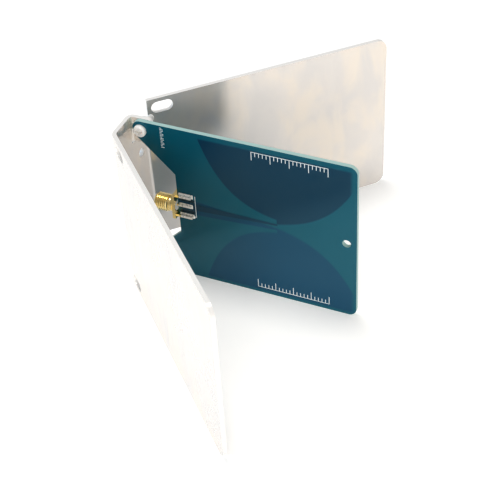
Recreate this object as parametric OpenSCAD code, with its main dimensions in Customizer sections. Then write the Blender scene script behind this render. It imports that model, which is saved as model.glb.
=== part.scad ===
// Horn antenna with a printed feed board. One folded aluminium sheet makes the back wall, the two
// flared side panels and two tabs. A two-sided circuit board is screwed to the tabs, and an
// edge-mount coaxial jack sits in the board's notch, behind the cable hole in the wall.
// The horn opens towards +X and stands on its lower edges at z = 0. The board lies in the XZ plane:
// its -Y face carries the feed line and the upper fin, its +Y face the ground and the lower fin.

/* [Horn sheet] */
// Height of the folded sheet
horn_h = 66; // [56:1:90]
// Thickness of the sheet
sheet_t = 1.5; // [1:0.1:2]
// Width of the back wall between the inside corners of its two bends
wall_w = 19.8; // [18:0.1:30]
// Length of each side panel along its inner face, from the inside corner
panel_len = 94.6; // [70:0.1:130]
// Angle between each side panel and the board
flare = 44.8; // [35:0.1:55]
// Inside radius of the two main bends
bend_r = 2.5; // [1:0.1:3]
// Radius of the front corners of the side panels
panel_corner_r = 4; // [1:0.5:10]

/* [Tabs] */
// Height of each tab
tab_h = 10; // [8:0.5:12]
// Reach of each tab from the inner face of the back wall
tab_len = 8; // [7.5:0.5:11]
// Inside radius of the bend at the root of each tab
tab_bend_r = 1.2; // [0.8:0.1:1.6]
// Radius of the free corners of each tab
tab_corner_r = 1.5; // [0.5:0.1:2.5]
// Width of the relief cut beside each tab
relief_w = 1; // [0.5:0.1:2]
// Distance each window beside a tab runs past the end of the main bend
window_past = 0.4; // [0.2:0.1:1.5]

/* [Wall holes] */
// Diameter of the four bolt holes
bolt_d = 3.2; // [2.5:0.1:4]
// Spacing of the bolt holes across the wall
bolt_across = 10.2; // [9:0.1:12]
// Spacing of the bolt holes up the wall
bolt_up = 29; // [20:0.5:32]
// Diameter of the cable hole, wide enough for the nut of the plug
cable_d = 10; // [9.5:0.1:11]

/* [Access slots] */
// Length of each driver slot along the panel
slot_len = 8.1; // [6:0.1:10]
// Width of each driver slot
slot_w = 4.5; // [3:0.1:5]
// Distance of the middle of each slot ahead of its screw
slot_lead = 0.9; // [0:0.1:2]

/* [Board] */
// Thickness of the laminate
board_t = 1.6; // [1:0.1:2]
// Length of the board from the ears to the front edge
board_len = 82; // [75:0.5:100]
// Distance of the long edges of the board inside the edges of the sheet
board_inset = 0.1; // [0:0.1:1]
// Gap between the ears and the bend of the tabs
ear_gap = 0.1; // [0.1:0.1:1]
// Depth of the notch for the jack
notch_depth = 14.7; // [13.5:0.1:18]
// Height of the straight bottom of the notch
notch_h = 26; // [16:0.5:30]
// Height of the back edge of each ear
ear_h = 5.3; // [4:0.1:7]
// Radius of the outer corners of the board
board_corner_r = 3; // [1:0.1:4]
// Diameter of the eye near the front edge
eye_d = 3.1; // [2:0.1:4]
// Distance of the eye from the front edge
eye_in = 3.7; // [3:0.1:8]

/* [Copper] */
// Thickness of the copper foil
foil_t = 0.05; // [0.035:0.005:0.1]
// Bare border between the copper and the edges of the board
border = 1.3; // [0.5:0.1:2]
// Distance of the throat from the front edge of the board
throat_in = 29.3; // [22:0.1:36]
// Gap between the two fins at the throat
throat_gap = 1; // [0.4:0.1:2]
// Height of the root of each fin at the throat
root_h = 2; // [1.2:0.1:3]
// Growth rate of the front taper, per millimetre
front_rate = 0.078; // [0.06:0.001:0.09]
// Scale of the front taper
front_scale = 2.78; // [2:0.01:3.5]
// Growth rate of the back taper, per millimetre
back_rate = 0.099; // [0.08:0.001:0.12]
// Scale of the back taper
back_scale = 1.83; // [1:0.01:2.5]
// Width of the feed line at the jack
feed_w = 3.6; // [2:0.1:4]
// Width of the feed line at the throat
feed_end_w = 0.9; // [0.5:0.1:1.1]
// Height of the tapered ground strip at the jack
ground_h = 7.5; // [5:0.5:10.5]
// Height of the pad under each leg
pad_h = 2.2; // [1.8:0.1:2.6]
// Length of the pads from the bottom of the notch
pad_len = 6.6; // [6.2:0.1:9]

/* [Jack] */
// Outside diameter of the thread
thread_d = 6.35; // [6:0.05:7]
// Length of the thread
thread_len = 5.5; // [4:0.1:7]
// Diameter of the neck behind the thread
neck_d = 5.3; // [5:0.1:5.8]
// Length of the neck
neck_len = 1.4; // [0.6:0.1:2]
// Thickness of the flange
flange_t = 1.2; // [1:0.1:2]
// Height of the flange
flange_h = 9.8; // [9:0.1:12]
// Distance of the flange's -Y side from the axis
flange_side = 2.2; // [2.1:0.1:3.5]
// Height of each leg
leg_h = 1; // [0.8:0.1:1.4]
// Thickness of each leg, square to the board
leg_t = 1.2; // [1:0.1:1.5]
// Length of each leg
leg_len = 5.7; // [4.5:0.1:6]
// Diameter of the mouth of the barrel
mouth_d = 4.6; // [4.5:0.05:4.9]
// Depth of the mouth, down to the insulator
mouth_depth = 1.9; // [1.5:0.1:2.4]
// Diameter of the insulator
insulator_d = 4.1; // [3.8:0.05:4.3]
// Diameter of the centre contact inside the insulator
contact_d = 1.27; // [1.2:0.01:1.5]
// Diameter of the socket in the centre contact
socket_d = 0.94; // [0.9:0.01:1]
// Depth of the socket
socket_depth = 3; // [2:0.1:3.5]
// Diameter of the tail pin on the board
pin_d = 0.9; // [0.7:0.05:1.1]
// Length of the tail pin ahead of the flange
pin_len = 5.4; // [4.5:0.1:6]

/* [Solder] */
// Width of the solder beside each leg and pin
solder_side = 0.45; // [0.3:0.05:0.5]
// Length of the solder beyond the end of each leg and pin
solder_toe = 0.4; // [0.3:0.05:0.45]
// Share of the height of a leg or pin that the solder climbs
solder_climb = 0.6; // [0.3:0.05:0.8]

/* [Screws] */
// Diameter of the screws
screw_d = 2.5; // [2:0.1:2.6]
// Length of the screws under the head
screw_len = 8.5; // [7:0.5:10]
// Diameter of the head
head_d = 4.6; // [4.2:0.1:5]
// Height of the head
head_h = 1.5; // [1.2:0.1:2]
// Clearance between a screw and its holes, across the diameter
screw_play = 0.2; // [0.1:0.05:0.4]
// Size of the nuts across their flats
nut_flats = 5; // [4.5:0.1:5.5]
// Height of the nuts
nut_h = 2; // [1.6:0.1:2.4]
// Distance of the screws ahead of the back edge of the ears
screw_ahead = 3; // [2.8:0.1:3.6]
// Distance of the screws from the upper and lower edges of the sheet
screw_down = 3.7; // [3.4:0.1:4.5]

/* [Hidden] */
$fn = 64;
slack = 0.01;           // overshoot of cuts past a face
steps = 20;             // straight pieces in each taper
bend_steps = 8;         // straight pieces round each main bend

// Sheet: x is counted from the outer face of the back wall, z from mid-height.
turn = 90 - flare;                          // angle each main bend turns through
bend_set = bend_r * tan(turn / 2);          // from the inside corner to the end of a bend
wall_half = wall_w / 2 - bend_set;          // flat half-width of the back wall
half_h = horn_h / 2;
tab_y = board_t / 2;                        // the tabs lie on the board's +Y face
tab_start = tab_y - tab_bend_r;             // where the wall starts to curve into a tab
tab_foot = half_h - tab_h;                  // inner edge of each tab
window_foot = tab_foot - relief_w;          // inner edge of each window beside a tab

// Board
ear_x = sheet_t + tab_bend_r + ear_gap;
board_h = horn_h - 2 * board_inset;
notch_x = ear_x + notch_depth;
front_x = ear_x + board_len;
throat_x = front_x - throat_in;
copper_y = board_t / 2 + foil_t;            // outer face of the foil
screw_x = ear_x + screw_ahead;
screw_z = half_h - screw_down;
slot_s = (screw_x - sheet_t) / cos(flare) + slot_lead;

// Jack
axis_y = -(copper_y + pin_d / 2);           // the tail pin lies on the feed line
flange_x = notch_x - flange_t;
thread_x = flange_x - neck_len;
tip_x = thread_x - thread_len;
leg_z = (flange_h - leg_h) / 2;             // the legs are flush with the flange's ends
flange_back = copper_y + leg_t;             // and with its +Y side
mouth_x = tip_x + mouth_depth;

// The whole part stands on z = 0, centred on the origin.
module seat() translate([-front_x / 2, 0, half_h]) children();

// Stands a flat outline, drawn in x and z, up as a plate from y to y + thick.
module upright(y, thick) translate([0, y + thick, 0]) rotate([90, 0, 0])
    linear_extrude(thick) children();

module rounded(len, height, r) {
    translate([0, r - height / 2]) square([len, height - 2 * r]);
    translate([r, -height / 2]) square([len - 2 * r, height]);
    for (x = [r, len - r], z = [-1, 1]) translate([x, z * (height / 2 - r)]) circle(r);
}

module pair() for (side = [-1, 1]) scale([1, 1, side]) children();

// ---- Folded sheet ----

// Middle of the arc of the +Y main bend, and the way its panel runs from there
bend_middle = [sheet_t + bend_r, wall_half];
panel_way = [cos(flare), sin(flare)];
panel_out = [-sin(flare), cos(flare)];

// One face of the sheet seen from above: round a main bend at radius r, then along the panel.
function face_line(r) = [
    for (i = [0:bend_steps]) let (a = 180 - turn * i / bend_steps)
        bend_middle + r * [cos(a), sin(a)],
    bend_middle + r * panel_out + panel_len * panel_way
];
function backwards(points) = [for (i = [len(points) - 1:-1:0]) points[i]];
function across(points) = [for (p = points) [p.x, -p.y]];

// The sheet seen from above, with panels that are still too long.
module sheet_section() {
    outer = face_line(bend_r + sheet_t);
    inner = face_line(bend_r);
    polygon(concat(outer, backwards(inner), across(inner), across(backwards(outer))));
}

// Draws in the plane of the +Y panel: x runs along it from the end of the bend.
module on_panel() translate(bend_middle) rotate([0, 0, flare]) children();

// A plate in that plane that stands proud of both faces of the panel.
module proud_plate() upright(bend_r - sheet_t / 2, 2 * sheet_t) children();

// What is cut off a strip that was drawn too long by spare, to leave an end with rounded
// corners between two heights. The arcs run out through the strip's edges.
module end_waste(end, low, high, r, spare) difference() {
    translate([end - r, low - r]) square([r + 2 * spare, high - low + 2 * r]);
    translate([end - 2 * r, low + r - slack])
        square([2 * r, high - low - 2 * r + 2 * slack]);
    for (z = [low + r - slack, high - r + slack]) translate([end - r, z]) circle(r);
}

module slot_outline() {
    straight = slot_len - slot_w;
    square([straight, slot_w], center = true);
    for (end = [-1, 1]) translate([end * straight / 2, 0]) circle(slot_w / 2);
}

// Cuts through both panels: their front ends and the driver slots.
module panel_cuts() for (side = [-1, 1]) scale([1, side, 1]) on_panel() proud_plate() {
    end_waste(panel_len - bend_set, -half_h, half_h, panel_corner_r, bend_set);
    for (end = [-1, 1]) translate([slot_s - bend_set, end * screw_z]) slot_outline();
}

// Clears the wall and the +Y bend above and below, where the tabs are folded out of the sheet.
module windows() {
    past = bend_middle + window_past * panel_way;
    far_out = past + (bend_r + 2 * sheet_t) * panel_out;
    for (z = [window_foot, -horn_h]) translate([0, 0, z]) linear_extrude(horn_h - window_foot)
        polygon([
            [-sheet_t, tab_start], [bend_middle.x, tab_start], past, far_out,
            [-sheet_t, far_out.y]
        ]);
}

module wall_hole(y, z, d) translate([-sheet_t, y, z]) rotate([0, 90, 0])
    cylinder(d = d, h = 3 * sheet_t);

module wall_holes() {
    for (y = [-1, 1], z = [-1, 1]) wall_hole(y * bolt_across / 2, z * bolt_up / 2, bolt_d);
    wall_hole(axis_y, 0, cable_d);
}

// A tab seen from above: it laps the wall, turns through its bend and is still too long.
module tab_section() {
    middle_x = sheet_t + tab_bend_r;
    r = sheet_t + tab_bend_r;
    translate([0, tab_start - sheet_t]) square([sheet_t, sheet_t]);
    translate([middle_x, tab_y]) square([tab_len + tab_corner_r - tab_bend_r, sheet_t]);
    intersection() {
        difference() {
            translate([middle_x, tab_start]) circle(r);
            translate([middle_x, tab_start]) circle(tab_bend_r);
        }
        translate([middle_x - r, tab_start]) square(r);
    }
}

module tab() difference() {
    translate([0, 0, tab_foot]) linear_extrude(tab_h) tab_section();
    upright(tab_y - sheet_t / 2, 2 * sheet_t) {
        end_waste(sheet_t + tab_len, tab_foot, half_h, tab_corner_r, tab_corner_r);
        translate([screw_x, screw_z]) circle(d = screw_d + screw_play);
    }
}

module horn_sheet() color("gainsboro") seat() union() {
    difference() {
        translate([0, 0, -half_h]) linear_extrude(horn_h) sheet_section();
        panel_cuts();
        windows();
        wall_holes();
    }
    pair() tab();
}

// ---- Circuit board ----

module notch_outline() polygon([
    [ear_x - slack, board_h / 2 - ear_h], [notch_x, notch_h / 2],
    [notch_x, -notch_h / 2], [ear_x - slack, ear_h - board_h / 2]
]);

module circuit_board() color("teal") seat() upright(-board_t / 2, board_t) difference() {
    translate([ear_x, 0]) rounded(board_len, board_h, board_corner_r);
    notch_outline();
    for (end = [-1, 1]) translate([screw_x, end * screw_z]) circle(d = screw_d + screw_play);
    translate([front_x - eye_in, 0]) circle(d = eye_d);
}

// ---- Copper ----

// Edges of the upper fin, as heights at a distance u in front of or behind the throat.
function front_edge(u) = throat_gap / 2 + front_scale * (exp(front_rate * u) - 1);
function back_edge(u) = throat_gap / 2 + root_h + back_scale * (exp(back_rate * u) - 1);
// How far behind the throat the back taper passes the edge of the board
back_reach = ln((half_h - root_h) / back_scale + 1) / back_rate;

module fin_outline() intersection() {
    polygon(concat(
        [for (i = [0:steps]) let (u = throat_in * i / steps) [throat_x + u, front_edge(u)]],
        [[front_x, horn_h]],
        [for (i = [steps:-1:0]) let (u = back_reach * i / steps) [throat_x - u, back_edge(u)]]
    ));
    copper_area();
}

module copper_area() translate([ear_x + border, border - board_h / 2])
    square([board_len - 2 * border, board_h - 2 * border]);

// A tapered strip from the bottom of the notch to the root of the upper fin
module strip_outline(start_h) polygon([
    [notch_x + border / 2, start_h / 2], [notch_x + border / 2, -start_h / 2],
    [throat_x + slack, throat_gap / 2], [throat_x + slack, throat_gap / 2 + feed_end_w]
]);

module pad_outline() translate([notch_x + border / 2, leg_z - pad_h / 2])
    square([pad_len - border / 2, pad_h]);

// The ground spreads into one patch behind both legs.
module patch_outline() translate([notch_x + border / 2, -leg_z - pad_h / 2])
    square([pad_len - border / 2, 2 * leg_z + pad_h]);

module feed_fin() color("navy") seat() upright(-copper_y, foil_t) union() {
    fin_outline();
    strip_outline(feed_w);
}

module ground_fin() color("navy") seat() upright(board_t / 2, foil_t) scale([1, -1]) union() {
    fin_outline();
    strip_outline(ground_h);
    patch_outline();
}

module leg_pads() color("navy") seat() upright(-copper_y, foil_t)
    for (end = [-1, 1]) scale([1, end]) pad_outline();

// ---- Coaxial jack ----

module along(x, d, len) translate([x, axis_y, 0]) rotate([0, 90, 0]) cylinder(d = d, h = len);

module leg(y) translate([notch_x - slack, y, leg_z - leg_h / 2])
    cube([leg_len + slack, leg_t, leg_h]);

module four_legs() pair() {
    leg(-copper_y - leg_t);
    leg(copper_y);
}

module flange() {
    side = axis_y - flange_side;
    translate([flange_x, side, -flange_h / 2]) cube([flange_t, flange_back - side, flange_h]);
}

module barrel() {
    lead = (thread_d - neck_d) / 2;
    along(flange_x - neck_len - slack, neck_d, neck_len + 2 * slack);
    along(tip_x + lead, thread_d, thread_len - lead);
    translate([tip_x, axis_y, 0]) rotate([0, 90, 0]) cylinder(d1 = neck_d, d2 = thread_d, h = lead);
}

module jack_shell() color("goldenrod") seat() difference() {
    union() {
        barrel();
        flange();
        four_legs();
    }
    along(tip_x - slack, mouth_d, mouth_depth + slack);
    along(mouth_x - slack, insulator_d, notch_x - mouth_x + 2 * slack);
}

module jack_insulator() color("ivory") seat() difference() {
    along(mouth_x, insulator_d, notch_x - mouth_x);
    along(mouth_x - slack, contact_d, notch_x - mouth_x + 2 * slack);
}

module jack_contact() color("gold") seat() difference() {
    union() {
        along(mouth_x, contact_d, notch_x - mouth_x);
        along(notch_x - slack, pin_d, pin_len + slack);
    }
    along(mouth_x - slack, socket_d, socket_depth + slack);
}

// ---- Solder ----

// A tapered mound on the copper: it runs ahead of the flange by len and climbs to rise.
module mound(width, len, rise) {
    foot_w = width + 2 * solder_side;
    start = notch_x + border / 2;
    hull() {
        translate([start, -slack, -foot_w / 2])
            cube([len + solder_toe - border / 2, slack, foot_w]);
        translate([start, -rise, -width / 2 - slack])
            cube([len + slack - border / 2, slack, width + 2 * slack]);
    }
}

module leg_mound() translate([0, -copper_y, leg_z]) mound(leg_h, leg_len, leg_t * solder_climb);

module front_solder(side) color("silver") seat() scale([1, 1, side]) difference() {
    leg_mound();
    leg(-copper_y - leg_t);
}

module back_solder(side) color("silver") seat() scale([1, 1, side]) difference() {
    scale([1, -1, 1]) leg_mound();
    leg(copper_y);
}

// The pin rests on the copper, so its groove in the solder is open below.
module pin_solder() color("silver") seat() difference() {
    translate([0, -copper_y, 0]) mound(pin_d, pin_len, pin_d * solder_climb);
    along(notch_x, pin_d, pin_len);
    translate([notch_x, axis_y, -pin_d / 4]) cube([pin_len, pin_d, pin_d / 2]);
}

module front_upper_solder() front_solder(1);
module front_lower_solder() front_solder(-1);
module back_upper_solder() back_solder(1);
module back_lower_solder() back_solder(-1);

// ---- Screws and nuts ----

module head_profile() {
    edge = head_h / 2;
    square([head_d / 2 - edge, head_h]);
    square([head_d / 2, head_h - edge]);
    translate([head_d / 2 - edge, head_h - edge]) circle(edge);
}

module cross_recess() for (turned = [0, 90]) rotate(turned)
    translate([-head_d * 0.28, -head_d * 0.06, head_h * 0.5])
        cube([head_d * 0.56, head_d * 0.12, head_h]);

// A pan-head screw: the head points to -Y and the shank to +Y.
module screw(side) color("whitesmoke") seat()
    translate([screw_x, -board_t / 2, side * screw_z]) rotate([90, 0, 0]) {
        difference() {
            intersection() {
                rotate_extrude() head_profile();
                cylinder(d = head_d, h = head_h);
            }
            cross_recess();
        }
        translate([0, 0, -screw_len]) cylinder(d = screw_d, h = screw_len + slack);
    }

module nut(side) color("whitesmoke") seat()
    translate([screw_x, board_t / 2 + sheet_t, side * screw_z]) rotate([-90, 0, 0])
        difference() {
            cylinder(d = nut_flats / cos(30), h = nut_h, $fn = 6);
            translate([0, 0, -slack]) cylinder(d = screw_d, h = nut_h + 2 * slack);
        }

module upper_screw() screw(1);
module lower_screw() screw(-1);
module upper_nut() nut(1);
module lower_nut() nut(-1);

horn_sheet();
circuit_board();
feed_fin();
ground_fin();
leg_pads();
jack_shell();
jack_insulator();
jack_contact();
pin_solder();
front_upper_solder();
front_lower_solder();
back_upper_solder();
back_lower_solder();
upper_screw();
lower_screw();
upper_nut();
lower_nut();
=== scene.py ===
# Horn antenna: a folded aluminium horn round a printed feed board with an edge-mount coaxial jack.
from math import cos, hypot, pi, radians, sin
import bmesh
import bpy
from mathutils import Matrix, Vector


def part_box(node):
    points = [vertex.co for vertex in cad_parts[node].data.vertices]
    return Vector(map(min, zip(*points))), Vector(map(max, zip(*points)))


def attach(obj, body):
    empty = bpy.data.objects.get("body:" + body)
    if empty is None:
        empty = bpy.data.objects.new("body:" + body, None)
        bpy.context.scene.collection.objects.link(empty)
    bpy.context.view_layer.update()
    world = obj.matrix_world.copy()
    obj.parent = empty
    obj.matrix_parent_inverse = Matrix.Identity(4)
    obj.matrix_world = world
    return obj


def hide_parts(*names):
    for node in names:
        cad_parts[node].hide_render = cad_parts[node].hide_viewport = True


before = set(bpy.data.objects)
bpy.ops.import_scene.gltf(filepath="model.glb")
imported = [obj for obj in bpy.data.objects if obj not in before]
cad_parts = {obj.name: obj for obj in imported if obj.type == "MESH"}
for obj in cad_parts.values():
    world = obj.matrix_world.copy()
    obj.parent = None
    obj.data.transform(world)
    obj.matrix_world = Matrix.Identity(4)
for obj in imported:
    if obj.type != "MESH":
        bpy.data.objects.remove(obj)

mm = 0.001
scene = bpy.context.scene
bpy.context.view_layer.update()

boardLow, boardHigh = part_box("circuit_board")
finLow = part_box("feed_fin")[0]
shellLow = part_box("jack_shell")[0]
sleeveLow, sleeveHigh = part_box("jack_insulator")
midHeight = (boardLow.z + boardHigh.z) / 2
jackAxis = Vector((0, (sleeveLow.y + sleeveHigh.y) / 2, (sleeveLow.z + sleeveHigh.z) / 2))
notchX = sleeveHigh.x  # the insulator ends at the bottom of the notch

view = {  # the camera
    "place": (149.51, -308.17, 315.35),  # mm
    "heading": 25.6,  # degrees round from looking along +Y
    "down": 40.98,  # degrees below level
    "roll": -3.56,
    "lens": 91.3,
    "sensor": 36,  # mm
    "nearest": 0.01,  # m, nothing closer is drawn
}


def addCamera():
    heading, down, roll = (radians(view[key]) for key in ("heading", "down", "roll"))
    back = Vector((sin(heading) * cos(down), -cos(heading) * cos(down), sin(down)))
    side = Vector((0, 0, 1)).cross(back).normalized()
    up = back.cross(side)
    right = cos(roll) * side + sin(roll) * up
    top = cos(roll) * up - sin(roll) * side
    camera = bpy.data.objects.new("camera", bpy.data.cameras.new("camera"))
    camera.data.lens = view["lens"]
    camera.data.sensor_width = view["sensor"]
    camera.data.clip_start = view["nearest"]
    turn = Matrix((right, top, back)).transposed().to_4x4()
    camera.matrix_world = Matrix.Translation(Vector(view["place"]) * mm) @ turn
    scene.collection.objects.link(camera)
    scene.camera = camera


addCamera()
print("camera placed")


# short helpers that build shader nodes
def newMaterial(name, color, roughness, metallic=0.0):
    made = bpy.data.materials.new(name)
    made.use_nodes = True
    shader = made.node_tree.nodes["Principled BSDF"]
    shader.inputs["Base Color"].default_value = (*color, 1)
    shader.inputs["Roughness"].default_value = roughness
    shader.inputs["Metallic"].default_value = metallic
    return made, shader


def addNode(made, kind, **settings):
    node = made.node_tree.nodes.new(kind)
    for key, value in settings.items():
        setattr(node, key, value)
    return node


def plug(made, value, socket):
    # value is another node's output, or a number or colour to set
    if isinstance(value, bpy.types.NodeSocket):
        made.node_tree.links.new(value, socket)
    else:
        socket.default_value = value


def placeOn(made, stretch=(1, 1, 1), turn=(0, 0, 0)):
    mapping = addNode(made, "ShaderNodeMapping")
    plug(made, addNode(made, "ShaderNodeTexCoord").outputs["Object"], mapping.inputs["Vector"])
    mapping.inputs["Scale"].default_value = stretch
    mapping.inputs["Rotation"].default_value = turn
    return mapping.outputs["Vector"]


def noise(made, scale, detail=3, rough=0.5, bend=0.0, stretch=(1, 1, 1), turn=(0, 0, 0)):
    # a stretch below 1 draws the pattern out along that axis
    place = placeOn(made, stretch, turn)
    node = addNode(made, "ShaderNodeTexNoise")
    for key, value in (("Vector", place), ("Scale", scale), ("Detail", detail),
                       ("Roughness", rough), ("Distortion", bend)):
        plug(made, value, node.inputs[key])
    return node.outputs["Fac"]


def work(made, how, first, second=0.0, third=0.0):
    node = addNode(made, "ShaderNodeMath", operation=how)
    for socket, value in zip(node.inputs, (first, second, third)):
        plug(made, value, socket)
    return node.outputs[0]


def mingled(made, share, first, second):
    # two patterns in one, with this share of the first
    return work(made, "MULTIPLY_ADD", first, share, work(made, "MULTIPLY", second, 1 - share))


def spread(made, value, low, high, toLow=0.0, toHigh=1.0, soft=False):
    node = addNode(made, "ShaderNodeMapRange")
    node.interpolation_type = "SMOOTHSTEP" if soft else "LINEAR"
    for socket, given in zip(node.inputs, (value, low, high, toLow, toHigh)):
        plug(made, given, socket)
    return node.outputs[0]


def blended(made, share, first, second):
    node = addNode(made, "ShaderNodeMix", data_type="RGBA")
    plug(made, share, node.inputs["Factor"])
    plug(made, first, node.inputs[6])
    plug(made, second, node.inputs[7])
    return node.outputs[2]


def raised(made, shader, height, strength, depth):
    bump = addNode(made, "ShaderNodeBump")
    plug(made, height, bump.inputs["Height"])
    bump.inputs["Strength"].default_value = strength
    bump.inputs["Distance"].default_value = depth * mm
    plug(made, bump.outputs["Normal"], shader.inputs["Normal"])


noiseRange = (0.3, 0.7)  # most of a noise pattern lies between these values

sheetFinish = {
    "cream": (0.88, 0.80, 0.715),  # two tints that drift over the sheet
    "silver": (0.82, 0.775, 0.735),
    "wiped": (0.775, 0.742, 0.715),  # faint marks that a cloth left
    "metallic": 0.59,
    "plain": 0.2,  # roughness before a pattern is laid on, as in each finish below
    "roughness": (0.13, 0.23),
    "clouds": {"scale": 42, "bend": 0.8, "stretch": (1, 1, 0.6)},
    "smears": {"scale": 110, "rough": 0.55, "bend": 0.6, "stretch": (1, 1, 0.6), "turn": (0, 0.5, 0)},
    "wipes": {"scale": 110, "bend": 0.6, "stretch": (1, 1, 0.4), "turn": (0, 0.7, 0)},
    "streaks": {"scale": 420, "detail": 2, "stretch": (1, 1, 0.03)},
    "grain": {"scale": 3200, "detail": 2, "stretch": (1, 1, 0.02)},  # left by the rolls
    "smearShare": 0.5,  # of the tint; clouds are the rest
    "tintRange": (0.41, 0.59),  # values over which one tint passes into the other
    "wipeRange": (0.42, 0.68),
    "streakShare": 0.35,  # of the wear; smears are the rest
    "wearRange": (0.35, 0.65),
    "relief": (0.04, 0.005),  # how much the grain stands out: strength, and depth in mm
}


def rolledAluminium():
    made, shader = newMaterial("rolledAluminium", sheetFinish["cream"], sheetFinish["plain"],
                               metallic=sheetFinish["metallic"])
    clouds = noise(made, **sheetFinish["clouds"])
    smears = noise(made, **sheetFinish["smears"])
    streaks = noise(made, **sheetFinish["streaks"])
    grain = noise(made, **sheetFinish["grain"])
    tint = spread(made, mingled(made, sheetFinish["smearShare"], smears, clouds),
                  *sheetFinish["tintRange"], soft=True)
    color = blended(made, tint, (*sheetFinish["cream"], 1), (*sheetFinish["silver"], 1))
    wiped = spread(made, noise(made, **sheetFinish["wipes"]), *sheetFinish["wipeRange"], soft=True)
    plug(made, blended(made, wiped, color, (*sheetFinish["wiped"], 1)), shader.inputs["Base Color"])
    wear = mingled(made, sheetFinish["streakShare"], streaks, smears)
    plug(made, spread(made, wear, *sheetFinish["wearRange"], *sheetFinish["roughness"]),
         shader.inputs["Roughness"])
    raised(made, shader, grain, *sheetFinish["relief"])
    return made


cutFinish = {  # sheared and punched faces are paler and less of a mirror
    "color": (0.90, 0.89, 0.87),
    "metallic": 0.4,
    "plain": 0.4,
    "roughness": (0.35, 0.5),
    "shear": {"scale": 1500},
    "relief": (0.3, 0.02),
}


def cutAluminium():
    made, shader = newMaterial("cutAluminium", cutFinish["color"], cutFinish["plain"],
                               metallic=cutFinish["metallic"])
    shear = noise(made, **cutFinish["shear"])
    plug(made, spread(made, shear, *noiseRange, *cutFinish["roughness"]), shader.inputs["Roughness"])
    raised(made, shader, shear, *cutFinish["relief"])
    return made


copper = {  # outline of the foil, in mm; heights are from the middle of the board
    "border": 1.3,  # bare laminate round the foil
    "throatIn": 29.3,  # from the front edge of the board back to the throat of the flare
    "gap": 1.0,  # between the fins at the throat
    "root": 2.0,  # height of each fin at the throat
    "frontRate": 0.078,  # the edges of the fins are exponential curves
    "frontScale": 2.78,
    "backRate": 0.099,
    "backScale": 1.83,
    "feedStart": 3.6,  # width at the jack of the strip on the near face
    "groundStart": 7.5,  # the same on the far face
    "feedEnd": 0.9,  # width of both at the throat
    "patchLength": 6.6,  # of the foil on the far face, behind the legs of the jack
    "patchHalf": 5.5,
    "soft": 0.65,  # how far the edge of a fin blurs under the mask
    "softStrip": 0.3,
}


def boardPlace(made, side):
    # distance ahead of the throat, and height towards the fin of this side, both in mm
    split = addNode(made, "ShaderNodeSeparateXYZ")
    plug(made, addNode(made, "ShaderNodeTexCoord").outputs["Object"], split.inputs[0])
    throatX = boardHigh.x / mm - copper["throatIn"]
    ahead = work(made, "MULTIPLY_ADD", split.outputs["X"], 1 / mm, -throatX)
    height = work(made, "MULTIPLY_ADD", split.outputs["Z"], side / mm, -side * midHeight / mm)
    return ahead, height


def within(made, value, low, high, soft):
    # 1 between low and high, with soft edges
    above = spread(made, work(made, "SUBTRACT", value, low), -soft, soft, soft=True)
    below = spread(made, work(made, "SUBTRACT", high, value), -soft, soft, soft=True)
    return work(made, "MULTIPLY", above, below)


def copperShape(made, side, stripStart, inset=0.0):
    # 1 on the foil of one face, 0 elsewhere; side is 1 for the upper fin, -1 for the lower
    soft, softStrip = copper["soft"], copper["softStrip"]
    ahead, height = boardPlace(made, side)

    def taper(rate, scale, start):
        grown = work(made, "EXPONENT", work(made, "MULTIPLY", ahead, rate))
        return work(made, "MULTIPLY_ADD", grown, scale, start - scale)

    half = copper["gap"] / 2
    front = taper(copper["frontRate"], copper["frontScale"], half)
    rear = taper(-copper["backRate"], copper["backScale"], half + copper["root"])
    isAhead = work(made, "GREATER_THAN", ahead, 0.0)
    isBehind = work(made, "SUBTRACT", 1.0, isAhead)
    edge = work(made, "MULTIPLY_ADD", front, isAhead, work(made, "MULTIPLY", rear, isBehind))
    edge = work(made, "ADD", edge, inset)
    top = (boardHigh.z - boardLow.z) / mm / 2 - copper["border"] - inset
    end = copper["throatIn"] - copper["border"] - inset
    inFin = work(made, "MULTIPLY", within(made, height, edge, top, soft),
                 spread(made, ahead, end + soft, end - soft))

    length = boardHigh.x / mm - copper["throatIn"] - notchX / mm
    share = work(made, "MULTIPLY_ADD", ahead, 1 / length, 1.0)
    upper = work(made, "MULTIPLY_ADD", share, half + copper["feedEnd"] - stripStart / 2, stripStart / 2)
    lower = work(made, "MULTIPLY_ADD", share, half + stripStart / 2, -stripStart / 2)
    inStrip = work(made, "MULTIPLY", within(made, height, lower, upper, softStrip),
                   within(made, ahead, copper["border"] / 2 - length, softStrip, softStrip))
    return work(made, "MAXIMUM", inFin, inStrip)


def patchBehind(made):
    # 1 on the foil behind the legs, 0 elsewhere; the painted shade round the legs is laid here
    ahead, height = boardPlace(made, 1)
    start = notchX / mm + copper["throatIn"] - boardHigh.x / mm
    along = within(made, ahead, start + copper["border"] / 2, start + copper["patchLength"],
                   copper["soft"])
    up = within(made, height, -copper["patchHalf"], copper["patchHalf"], copper["soft"])
    return work(made, "MULTIPLY", along, up)


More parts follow.
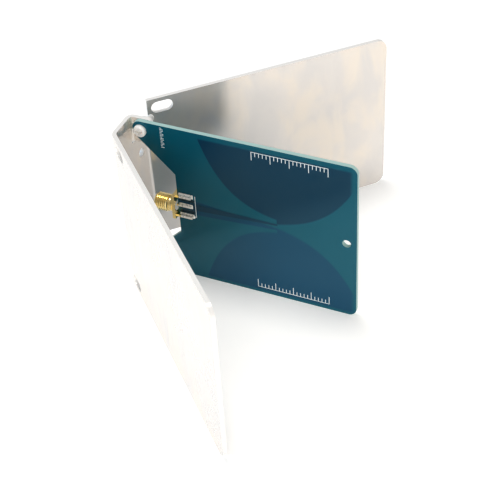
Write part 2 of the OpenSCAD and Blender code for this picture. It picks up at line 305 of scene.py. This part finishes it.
maskFinish = {
    "bare": (0.0005, 0.095, 0.143),  # mask over laminate
    "bareDeep": (0.0005, 0.080, 0.118),
    "behind": (0.0005, 0.051, 0.113),  # mask over laminate with foil on the other face
    "patch": (0.003, 0.012, 0.026),  # the same round the legs, darkened further by painted shade from the legs and flange of the jack
    "copper": (0.0005, 0.034, 0.076),  # mask over foil
    "copperDeep": (0.0005, 0.028, 0.063),
    "plain": 0.1,
    "roughness": (0.09, 0.17),
    "ior": 1.6,
    "tint": (0.45, 0.87, 1.0),  # of what it mirrors
    "drift": {"scale": 25, "detail": 2},
    "weave": (700, 0.6),  # scale of the glass cloth that shows faintly through, and its waviness
    "weaveShade": (0, 0.02, 0.03),
    "weaveShare": 0.08,
    "peel": {"scale": 320, "detail": 2, "rough": 0.4},  # the mask has a little orange peel
    "smears": {"scale": 60, "detail": 4, "rough": 0.6},
    "smearRange": (0.3, 0.75),
    "relief": (0.08, 0.02),
}


def maskGloss(made, shader, color):
    bands = [addNode(made, "ShaderNodeTexWave", wave_type="BANDS", bands_direction=way) for way in "XZ"]
    scale, waviness = maskFinish["weave"]
    for band in bands:
        plug(made, placeOn(made), band.inputs["Vector"])
        band.inputs["Scale"].default_value = scale
        band.inputs["Distortion"].default_value = waviness
    cloth = work(made, "MULTIPLY", bands[0].outputs["Fac"], bands[1].outputs["Fac"])
    color = blended(made, work(made, "MULTIPLY", cloth, maskFinish["weaveShare"]), color,
                    (*maskFinish["weaveShade"], 1))
    plug(made, color, shader.inputs["Base Color"])
    shader.inputs["IOR"].default_value = maskFinish["ior"]
    shader.inputs["Specular Tint"].default_value = (*maskFinish["tint"], 1)
    peel = noise(made, **maskFinish["peel"])
    smears = noise(made, **maskFinish["smears"])
    plug(made, spread(made, smears, *maskFinish["smearRange"], *maskFinish["roughness"]),
         shader.inputs["Roughness"])
    raised(made, shader, peel, *maskFinish["relief"])


def maskOnLaminate(name, side, stripStart, patched):
    made, shader = newMaterial(name, maskFinish["bare"], maskFinish["plain"])
    drift = noise(made, **maskFinish["drift"])
    bare = blended(made, drift, (*maskFinish["bare"], 1), (*maskFinish["bareDeep"], 1))
    color = blended(made, copperShape(made, side, stripStart), bare, (*maskFinish["behind"], 1))
    if patched:
        # painted shade: the mask round the legs is darkened as if the legs and flange shaded it, over
        # the real foil behind
        color = blended(made, patchBehind(made), color, (*maskFinish["patch"], 1))
    maskGloss(made, shader, color)
    return made


def maskOnCopper(name, side, stripStart):
    # the mask is thinner, and so paler, along the edges of the foil
    made, shader = newMaterial(name, maskFinish["copper"], maskFinish["plain"])
    drift = noise(made, **maskFinish["drift"])
    full = blended(made, drift, (*maskFinish["copper"], 1), (*maskFinish["copperDeep"], 1))
    inside = copperShape(made, side, stripStart, copper["soft"])
    maskGloss(made, shader, blended(made, inside, (*maskFinish["bare"], 1), full))
    return made


edgeFinish = {
    "resin": (0.30, 0.49, 0.47),
    "glass": (0.46, 0.62, 0.59),
    "roughness": 0.5,
    "plies": {"scale": 700, "stretch": (1, 14, 1)},
    "relief": (0.3, 0.03),
}


def laminateEdge():
    made, shader = newMaterial("laminateEdge", edgeFinish["resin"], edgeFinish["roughness"])
    plies = noise(made, **edgeFinish["plies"])
    plug(made, blended(made, plies, (*edgeFinish["resin"], 1), (*edgeFinish["glass"], 1)),
         shader.inputs["Base Color"])
    raised(made, shader, plies, *edgeFinish["relief"])
    return made


goldFinish = {
    "bright": (1.0, 0.87, 0.50),
    "deep": (0.98, 0.74, 0.30),
    "plain": 0.14,
    "roughness": (0.08, 0.2),
    "film": {"scale": 700},
    "turned": {"scale": 1500, "detail": 2, "stretch": (9, 1, 1)},  # fine marks of the lathe
    "relief": (0.12, 0.01),
}


def goldPlate():
    made, shader = newMaterial("goldPlate", goldFinish["bright"], goldFinish["plain"], metallic=1.0)
    film = noise(made, **goldFinish["film"])
    plug(made, blended(made, film, (*goldFinish["bright"], 1), (*goldFinish["deep"], 1)),
         shader.inputs["Base Color"])
    plug(made, spread(made, film, *noiseRange, *goldFinish["roughness"]), shader.inputs["Roughness"])
    raised(made, shader, noise(made, **goldFinish["turned"]), *goldFinish["relief"])
    return made


tinFinish = {
    "bright": (1.0, 0.97, 0.90),
    "dull": (0.86, 0.83, 0.78),
    "metallic": 0.48,
    "plain": 0.3,
    "roughness": (0.2, 0.42),
    "flow": {"scale": 1100, "bend": 0.4},
    "tinnedLeg": (0.15, 0.08),  # relief of the thin coat on the legs, then of the joints
    "solderJoint": (0.5, 0.08),
}


def tinned(name):
    made, shader = newMaterial(name, tinFinish["bright"], tinFinish["plain"],
                               metallic=tinFinish["metallic"])
    flow = noise(made, **tinFinish["flow"])
    plug(made, spread(made, flow, *noiseRange, *tinFinish["roughness"]), shader.inputs["Roughness"])
    plug(made, blended(made, flow, (*tinFinish["bright"], 1), (*tinFinish["dull"], 1)),
         shader.inputs["Base Color"])
    raised(made, shader, flow, *tinFinish[name])
    return made


plastics = {
    "nylon": ((0.90, 0.89, 0.86), 0.4),  # colour, and how much light soaks in
    "sleeveWhite": ((0.85, 0.85, 0.82), 0.2),
    "plain": 0.35,
    "roughness": (0.29, 0.45),
    "soak": (1.0, 0.9, 0.8),  # how far red, green and blue light get, as shares of the depth
    "soakDepth": 0.6,  # mm
    "skin": {"scale": 1400},
    "darker": 0.9,  # the mottled places, as a share of the colour
    "relief": (0.15, 0.02),
}


def moulded(name):
    color, glow = plastics[name]
    made, shader = newMaterial(name, color, plastics["plain"])
    shader.inputs["Subsurface Weight"].default_value = glow
    shader.inputs["Subsurface Radius"].default_value = plastics["soak"]
    shader.inputs["Subsurface Scale"].default_value = plastics["soakDepth"] * mm
    skin = noise(made, **plastics["skin"])
    darker = tuple(plastics["darker"] * part for part in color)
    plug(made, blended(made, skin, (*color, 1), (*darker, 1)), shader.inputs["Base Color"])
    plug(made, spread(made, skin, *noiseRange, *plastics["roughness"]), shader.inputs["Roughness"])
    raised(made, shader, skin, *plastics["relief"])
    return made


inkFinish = {
    "fresh": (0.92, 0.96, 0.97),
    "worn": (0.55, 0.68, 0.72),
    "roughness": 0.45,
    "wear": {"scale": 2500, "rough": 0.6},
    "wearRange": (0.5, 0.8),
    "relief": (0.2, 0.01),
}


def whiteInk():
    made, shader = newMaterial("whiteInk", inkFinish["fresh"], inkFinish["roughness"])
    wear = noise(made, **inkFinish["wear"])
    color = blended(made, spread(made, wear, *inkFinish["wearRange"]), (*inkFinish["fresh"], 1),
                    (*inkFinish["worn"], 1))
    plug(made, color, shader.inputs["Base Color"])
    raised(made, shader, wear, *inkFinish["relief"])
    return made


aluminium = rolledAluminium()
aluminiumCut = cutAluminium()
nearMask = maskOnLaminate("nearMask", -1, copper["groundStart"], True)
farMask = maskOnLaminate("farMask", 1, copper["feedStart"], False)
feedMask = maskOnCopper("feedMask", 1, copper["feedStart"])
groundMask = maskOnCopper("groundMask", -1, copper["groundStart"])
edgeGlass = laminateEdge()
gold = goldPlate()
tin = tinned("tinnedLeg")
solder = tinned("solderJoint")
nylon = moulded("nylon")
sleeveWhite = moulded("sleeveWhite")
ink = whiteInk()
print("finishes ready")


# mesh helpers
mergeDistance = 0.0005 * mm
cutSlack = 0.0001 * mm  # a point this near to a cut is on it
flatAngle = radians(0.3)  # faces that meet at less than this are joined
sharpAngle = radians(30)
turnedAngle = radians(40)  # passes over the facets and shallow steps of a turned piece
squareAngle = radians(60)  # square corners only


def cadCopy(node):
    bm = bmesh.new()
    bm.from_mesh(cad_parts[node].data)
    bmesh.ops.remove_doubles(bm, verts=bm.verts, dist=mergeDistance)
    bmesh.ops.dissolve_limit(bm, angle_limit=flatAngle, use_dissolve_boundaries=False,
                             verts=bm.verts, edges=bm.edges)
    return bm


def sharpEdges(bm, angle=sharpAngle):
    return [edge for edge in bm.edges if len(edge.link_faces) == 2 and edge.calc_face_angle() > angle]


def soften(bm, edges, width, segments=2):
    bmesh.ops.bevel(bm, geom=edges, offset=width, offset_type="OFFSET", segments=segments,
                    profile=0.5, affect="EDGES", clamp_overlap=True, material=-1)


def cutAcross(bm, point, normal, clear=False):
    bmesh.ops.bisect_plane(bm, geom=bm.verts[:] + bm.edges[:] + bm.faces[:], dist=cutSlack,
                           plane_co=point, plane_no=normal, clear_outer=clear)


def addPiece(name, bm, materials, slotName, *nodes, weighted=True):
    mesh = bpy.data.meshes.new(name)
    bm.to_mesh(mesh)
    bm.free()
    for polygon in mesh.polygons:
        polygon.use_smooth = True
    mesh.set_sharp_from_angle(angle=sharpAngle)
    for made in materials:
        mesh.materials.append(made)
    piece = bpy.data.objects.new(name, mesh)
    scene.collection.objects.link(piece)
    if weighted:
        normals = piece.modifiers.new("normals", "WEIGHTED_NORMAL")
        normals.keep_sharp = True
    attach(piece, "root")
    if nodes:
        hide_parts(*nodes)


def paintNode(node, made):
    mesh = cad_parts[node].data
    mesh.materials.clear()
    mesh.materials.append(made)


sheet = {
    "break": 0.12,  # mm, how far the sheared edges are broken
    "broad": 4,  # so many of the widest faces surely lie on the two skins
}


def hornSheet():
    bm = cadCopy("horn_sheet")
    # both skins run smoothly round the bends; all other faces were cut
    skins = set(sorted(bm.faces, key=lambda face: face.calc_area())[-sheet["broad"]:])
    growing = list(skins)
    while growing:
        for edge in growing.pop().edges:
            if len(edge.link_faces) == 2 and edge.calc_face_angle() < sharpAngle:
                fresh = [face for face in edge.link_faces if face not in skins]
                skins.update(fresh)
                growing.extend(fresh)
    for face in bm.faces:
        face.material_index = 0 if face in skins else 1
    soften(bm, sharpEdges(bm), sheet["break"] * mm)
    addPiece("hornSheet", bm, [aluminium, aluminiumCut], "sheet", "horn_sheet")


hornSheet()
print("sheet folded")


board = {
    "break": 0.08,  # mm
    "facing": 0.9,  # share of its normal that lies along Y on a broad face
}


def circuitBoard():
    bm = cadCopy("circuit_board")
    for face in bm.faces:
        face.material_index = 0
        if abs(face.normal.y) > board["facing"]:
            face.material_index = 1 if face.normal.y < 0 else 2
    soften(bm, sharpEdges(bm, squareAngle), board["break"] * mm)
    addPiece("circuitBoard", bm, [edgeGlass, nearMask, farMask], "laminate", "circuit_board")
    paintNode("feed_fin", feedMask)
    paintNode("leg_pads", feedMask)
    paintNode("ground_fin", groundMask)


circuitBoard()
print("board made")

marks = {  # mm; heights are from the middle of the board, all are plain strokes
    "thick": 0.02,
    "stroke": 0.22,
    "scaleStart": 4.8,
    "scaleStep": 1.37,
    "scaleCount": 21,
    "scaleEvery": 5,  # of these strokes one is tall
    "scaleTall": 3.4,
    "scaleShort": 1.7,
    "scaleTop": 30.3,
    "legLine": (6.9, 0.2, 9.6),  # distance ahead of the notch, height of its middle, and length
    "comb": (-28.5, 32.0),  # middle of the small column of strokes and height of its first
    "combStep": 0.62,
    "combCount": 14,
    "combEvery": 3,  # of these strokes one is narrow
    "combWide": 1.3,
    "combNarrow": 0.78,
    "combStroke": 0.198,
}


def inkBar(bm, x, z, wide, tall, face, thick=marks["thick"]):
    # a thin stroke that lies on the near face of the board
    size = Matrix.Diagonal((wide * mm, thick * mm, tall * mm, 1))
    middle = Vector((x * mm, face - thick * mm / 2, midHeight + z * mm))
    bmesh.ops.create_cube(bm, size=1, matrix=Matrix.Translation(middle) @ size)


def tickScale(bm, way, face):
    top = marks["scaleTop"]
    length = marks["scaleStep"] * (marks["scaleCount"] - 1)
    inkBar(bm, marks["scaleStart"] + length / 2, way * top, length + marks["stroke"],
           marks["stroke"], face)
    for count in range(marks["scaleCount"]):
        tall = marks["scaleShort"] if count % marks["scaleEvery"] else marks["scaleTall"]
        inkBar(bm, marks["scaleStart"] + count * marks["scaleStep"], way * (top - tall / 2),
               marks["stroke"], tall, face)


def printedMarks():
    bm = bmesh.new()
    tickScale(bm, 1, finLow.y)
    tickScale(bm, -1, boardLow.y)
    ahead, height, length = marks["legLine"]
    foil = (boardLow.y - finLow.y) / mm
    inkBar(bm, notchX / mm + ahead, height, marks["stroke"], length, boardLow.y, marks["thick"] + foil)
    x, z = marks["comb"]
    for count in range(marks["combCount"]):
        wide = marks["combWide"] if count % marks["combEvery"] else marks["combNarrow"]
        inkBar(bm, x + (wide - marks["combWide"]) / 2, z - count * marks["combStep"], wide,
               marks["combStroke"], boardLow.y)
    addPiece("printedMarks", bm, [ink], "laminate", weighted=False)


printedMarks()
print("marks printed")


ridge = {
    "sunk": 0.04,  # mm that a thread sinks into its bar
    "steps": 36,  # facets a turn
    "crest": (0.40, 0.50),  # start and end of its crest, as shares of the pitch
    "foot": 0.90,  # share of the pitch that it covers
    "taper": 1.1,  # how fast it rises at its ends
}


def threadRidge(bm, root, crest, pitch, start, end, place):
    # a helical ridge round Z from start to end, tapered at both ends, then moved by place
    sunk = root - ridge["sunk"] * mm
    corners = [(sunk, 0), *((crest, share) for share in ridge["crest"]), (sunk, ridge["foot"])]
    verts = [bm.verts.new((radius, 0, start + share * pitch)) for radius, share in corners]
    edges = [bm.edges.new(ends) for ends in zip(verts, verts[1:] + verts[:1])]
    turns = (end - start - pitch) / pitch
    count = round(turns * ridge["steps"])
    first = bmesh.ops.contextual_create(bm, geom=edges)["faces"]
    spun = bmesh.ops.spin(bm, geom=verts + edges, cent=(0, 0, 0), axis=(0, 0, 1),
                          dvec=(0, 0, turns * pitch / count), angle=turns * 2 * pi, steps=count)
    lastEdges = [item for item in spun["geom_last"] if isinstance(item, bmesh.types.BMEdge)]
    last = bmesh.ops.contextual_create(bm, geom=lastEdges)["faces"]
    # everything joined to the first face belongs to the ridge
    coil, growing = set(first), list(first)
    while growing:
        for edge in growing.pop().edges:
            fresh = [face for face in edge.link_faces if face not in coil]
            coil.update(fresh)
            growing.extend(fresh)
    coil.update(last)
    points = {vert for face in coil for vert in face.verts}
    for vert in points:
        radius = hypot(vert.co.x, vert.co.y)
        inside = min(vert.co.z - start, end - vert.co.z)
        limit = min(crest, sunk + max(inside, 0) * ridge["taper"])
        if radius > limit:
            vert.co.x *= limit / radius
            vert.co.y *= limit / radius
    bmesh.ops.recalc_face_normals(bm, faces=list(coil))
    bmesh.ops.transform(bm, matrix=place, verts=list(points))


roundSlack = 0.02 * mm  # a vertex this near to a radius is on it
stationSlack = 0.001 * mm


def shrinkRound(bm, centre, along, fromRadius, toRadius, low, high):
    # brings the rings of a cylinder from one radius to another between two stations
    for vert in bm.verts:
        offset = vert.co - centre
        station = offset.dot(along)
        flat = offset - station * along
        between = low - stationSlack < station < high + stationSlack
        if between and abs(flat.length - fromRadius) < roundSlack:
            vert.co -= flat * (1 - toRadius / fromRadius)


jack = {  # mm
    "barrel": 3.175,  # radius of the plain barrel before its thread is cut
    "crest": 3.17,  # of the thread, likewise
    "root": 2.84,
    "pitch": 0.7056,
    "threadStart": 0.15,  # from the open end
    "threadLength": 5.5,
    "break": 0.07,  # of the edges
    "sleeveBreak": 0.06,
    "pinBreak": 0.05,
    "goldLeg": 1.2,  # the legs are gold for this far from the notch, then tinned
    "goldPin": 0.5,
}


def tinBeyond(bm, reach):
    # past this far ahead of the notch the surface is tinned
    split = notchX + reach * mm
    cutAcross(bm, (split, 0, 0), (1, 0, 0))
    for face in bm.faces:
        face.material_index = 1 if face.calc_center_median().x > split else 0


def coaxialJack():
    bm = cadCopy("jack_shell")
    along = Vector((1, 0, 0))
    threadEnd = shellLow.x + jack["threadLength"] * mm
    shrinkRound(bm, jackAxis, along, jack["barrel"] * mm, jack["root"] * mm, shellLow.x, threadEnd)
    soften(bm, sharpEdges(bm, turnedAngle), jack["break"] * mm)
    tinBeyond(bm, jack["goldLeg"])
    turn = Matrix.Translation(jackAxis) @ Matrix.Rotation(pi / 2, 4, "Y")
    threadRidge(bm, jack["root"] * mm, jack["crest"] * mm, jack["pitch"] * mm,
                shellLow.x + jack["threadStart"] * mm, threadEnd, turn)
    addPiece("jackShell", bm, [gold, tin], "gilded_brass", "jack_shell")

    bm = cadCopy("jack_insulator")
    soften(bm, sharpEdges(bm), jack["sleeveBreak"] * mm)
    addPiece("jackInsulator", bm, [sleeveWhite], "ptfe", "jack_insulator")

    bm = cadCopy("jack_contact")
    soften(bm, sharpEdges(bm), jack["pinBreak"] * mm)
    tinBeyond(bm, jack["goldPin"])
    addPiece("jackContact", bm, [gold, tin], "gilded_brass", "jack_contact")


coaxialJack()
print("jack turned")

joint = {  # mm
    "break": 0.05,
    "slices": 6,
    "sag": 0.2,  # how far a fillet is hollow half-way up the leg
    "toe": 0.4,  # the last stretch, hollow towards its end
    "dropRadius": 0.7,  # of the drop left at the end of one leg
    "dropHeight": 0.6,
    "dropBack": 0.2,
    "dropSteps": (24, 12),
}


def hollowFillet(bm, low, high):
    # the solder sags between the copper below and the leg above, most of all half-way up
    tall, wide = high.y - low.y, (high.z - low.z) / 2
    middle, toe = (low.z + high.z) / 2, high.x - joint["toe"] * mm
    for count in range(1, joint["slices"]):
        cutAcross(bm, (0, low.y + tall * count / joint["slices"], 0), (0, 1, 0))
    for vert in bm.verts:
        share = (vert.co.y - low.y) / tall
        sag = joint["sag"] * mm * 4 * share * (1 - share)
        vert.co.z -= sag * (vert.co.z - middle) / wide
        vert.co.x -= sag * max(0, vert.co.x - toe) / (high.x - toe)


def addDrop(bm, low, high):
    place = Matrix.Translation((high.x - joint["dropBack"] * mm, high.y, (low.z + high.z) / 2))
    flat = Matrix.Diagonal((1, joint["dropHeight"] / joint["dropRadius"], 1, 1))
    around, down = joint["dropSteps"]
    bmesh.ops.create_uvsphere(bm, u_segments=around, v_segments=down, radius=joint["dropRadius"] * mm,
                              matrix=place @ flat)
    cutAcross(bm, (0, high.y, 0), (0, 1, 0), clear=True)
    bmesh.ops.holes_fill(bm, edges=[edge for edge in bm.edges if edge.is_boundary], sides=0)


def solderJoint(node, name):
    bm = cadCopy(node)
    low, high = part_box(node)
    soften(bm, sharpEdges(bm), joint["break"] * mm)
    hollowFillet(bm, low, high)
    if node == "front_lower_solder":
        addDrop(bm, low, high)
    addPiece(name, bm, [solder], "solder", node)


for node, name in (("pin_solder", "pinSolder"), ("front_upper_solder", "frontUpperSolder"),
                   ("front_lower_solder", "frontLowerSolder"), ("back_upper_solder", "backUpperSolder"),
                   ("back_lower_solder", "backLowerSolder")):
    solderJoint(node, name)
print("joints soldered")

fastener = {  # mm
    "shank": 1.25,  # radii
    "crest": 1.24,
    "root": 1.0,
    "pitch": 0.45,
    "plain": 0.1,  # the shank is at full size this far into the board
    "threadFrom": 1.6,  # behind the board
    "threadShort": 0.1,  # of the end of the screw
    "screwBreak": 0.07,
    "nutBreak": 0.12,
}


def nylonScrew(node, name):
    low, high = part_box(node)
    middle = Vector(((low.x + high.x) / 2, 0, (low.z + high.z) / 2))
    bm = cadCopy(node)
    along = Vector((0, 1, 0))
    shrinkRound(bm, middle, along, fastener["shank"] * mm, fastener["root"] * mm,
                boardLow.y + fastener["plain"] * mm, high.y)
    soften(bm, sharpEdges(bm, turnedAngle), fastener["screwBreak"] * mm)
    place = Matrix.Translation(middle) @ Matrix.Rotation(-pi / 2, 4, "X")
    threadRidge(bm, fastener["root"] * mm, fastener["crest"] * mm, fastener["pitch"] * mm,
                boardHigh.y + fastener["threadFrom"] * mm, high.y - fastener["threadShort"] * mm, place)
    addPiece(name, bm, [nylon], "nylon", node)


def nylonNut(node, name):
    bm = cadCopy(node)
    soften(bm, sharpEdges(bm, turnedAngle), fastener["nutBreak"] * mm)
    addPiece(name, bm, [nylon], "nylon", node)


for side in ("upper", "lower"):
    nylonScrew(f"{side}_screw", f"{side}Screw")
    nylonNut(f"{side}_nut", f"{side}Nut")
print("screws fitted")

studio = {
    "floor": (0.90, 0.90, 0.89),
    "floorHalf": 3,  # m
    "floorRoughness": 0.8,
    "glow": 0.25,  # the floor shines faintly
    "sky": 0.45,
    "lamps": {  # place in m, width in m, power in W, colour
        "key": ((0.4, -1.1, 0.33), 0.5, 4.9, (1.0, 0.93, 0.86)),
        "fill": ((-0.9, -0.6, 0.35), 0.8, 1.9, (0.28, 0.60, 1.0)),
        "top": ((-0.15, 0.1, 1.1), 0.35, 3.9, (1.0, 0.98, 0.95)),
    },
    "look": "Medium High Contrast",
}


def addFloor():
    bm = bmesh.new()
    bmesh.ops.create_grid(bm, x_segments=2, y_segments=2, size=studio["floorHalf"])
    mesh = bpy.data.meshes.new("floor")
    bm.to_mesh(mesh)
    bm.free()
    made, shader = newMaterial("paleFloor", studio["floor"], studio["floorRoughness"])
    shader.inputs["Emission Color"].default_value = (*studio["floor"], 1)
    shader.inputs["Emission Strength"].default_value = studio["glow"]
    mesh.materials.append(made)
    floor = bpy.data.objects.new("floor", mesh)
    scene.collection.objects.link(floor)


def addLamp(name, place, width, power, color):
    light = bpy.data.lights.new(name, "AREA")
    light.shape = "DISK"
    light.size = width
    light.energy = power
    light.color = color
    lamp = bpy.data.objects.new(name, light)
    aim = Vector((0, 0, midHeight)) - Vector(place)
    lamp.matrix_world = Matrix.Translation(place) @ aim.to_track_quat("-Z", "Y").to_matrix().to_4x4()
    scene.collection.objects.link(lamp)


def addStudio():
    sky = bpy.data.worlds.new("studio")
    sky.use_nodes = True
    back = sky.node_tree.nodes["Background"]
    back.inputs["Color"].default_value = (1, 1, 1, 1)
    back.inputs["Strength"].default_value = studio["sky"]
    scene.world = sky
    for name, settings in studio["lamps"].items():
        addLamp(name, *settings)
    scene.view_settings.view_transform = "Standard"
    scene.view_settings.look = studio["look"]


addFloor()
addStudio()
print("studio lit")
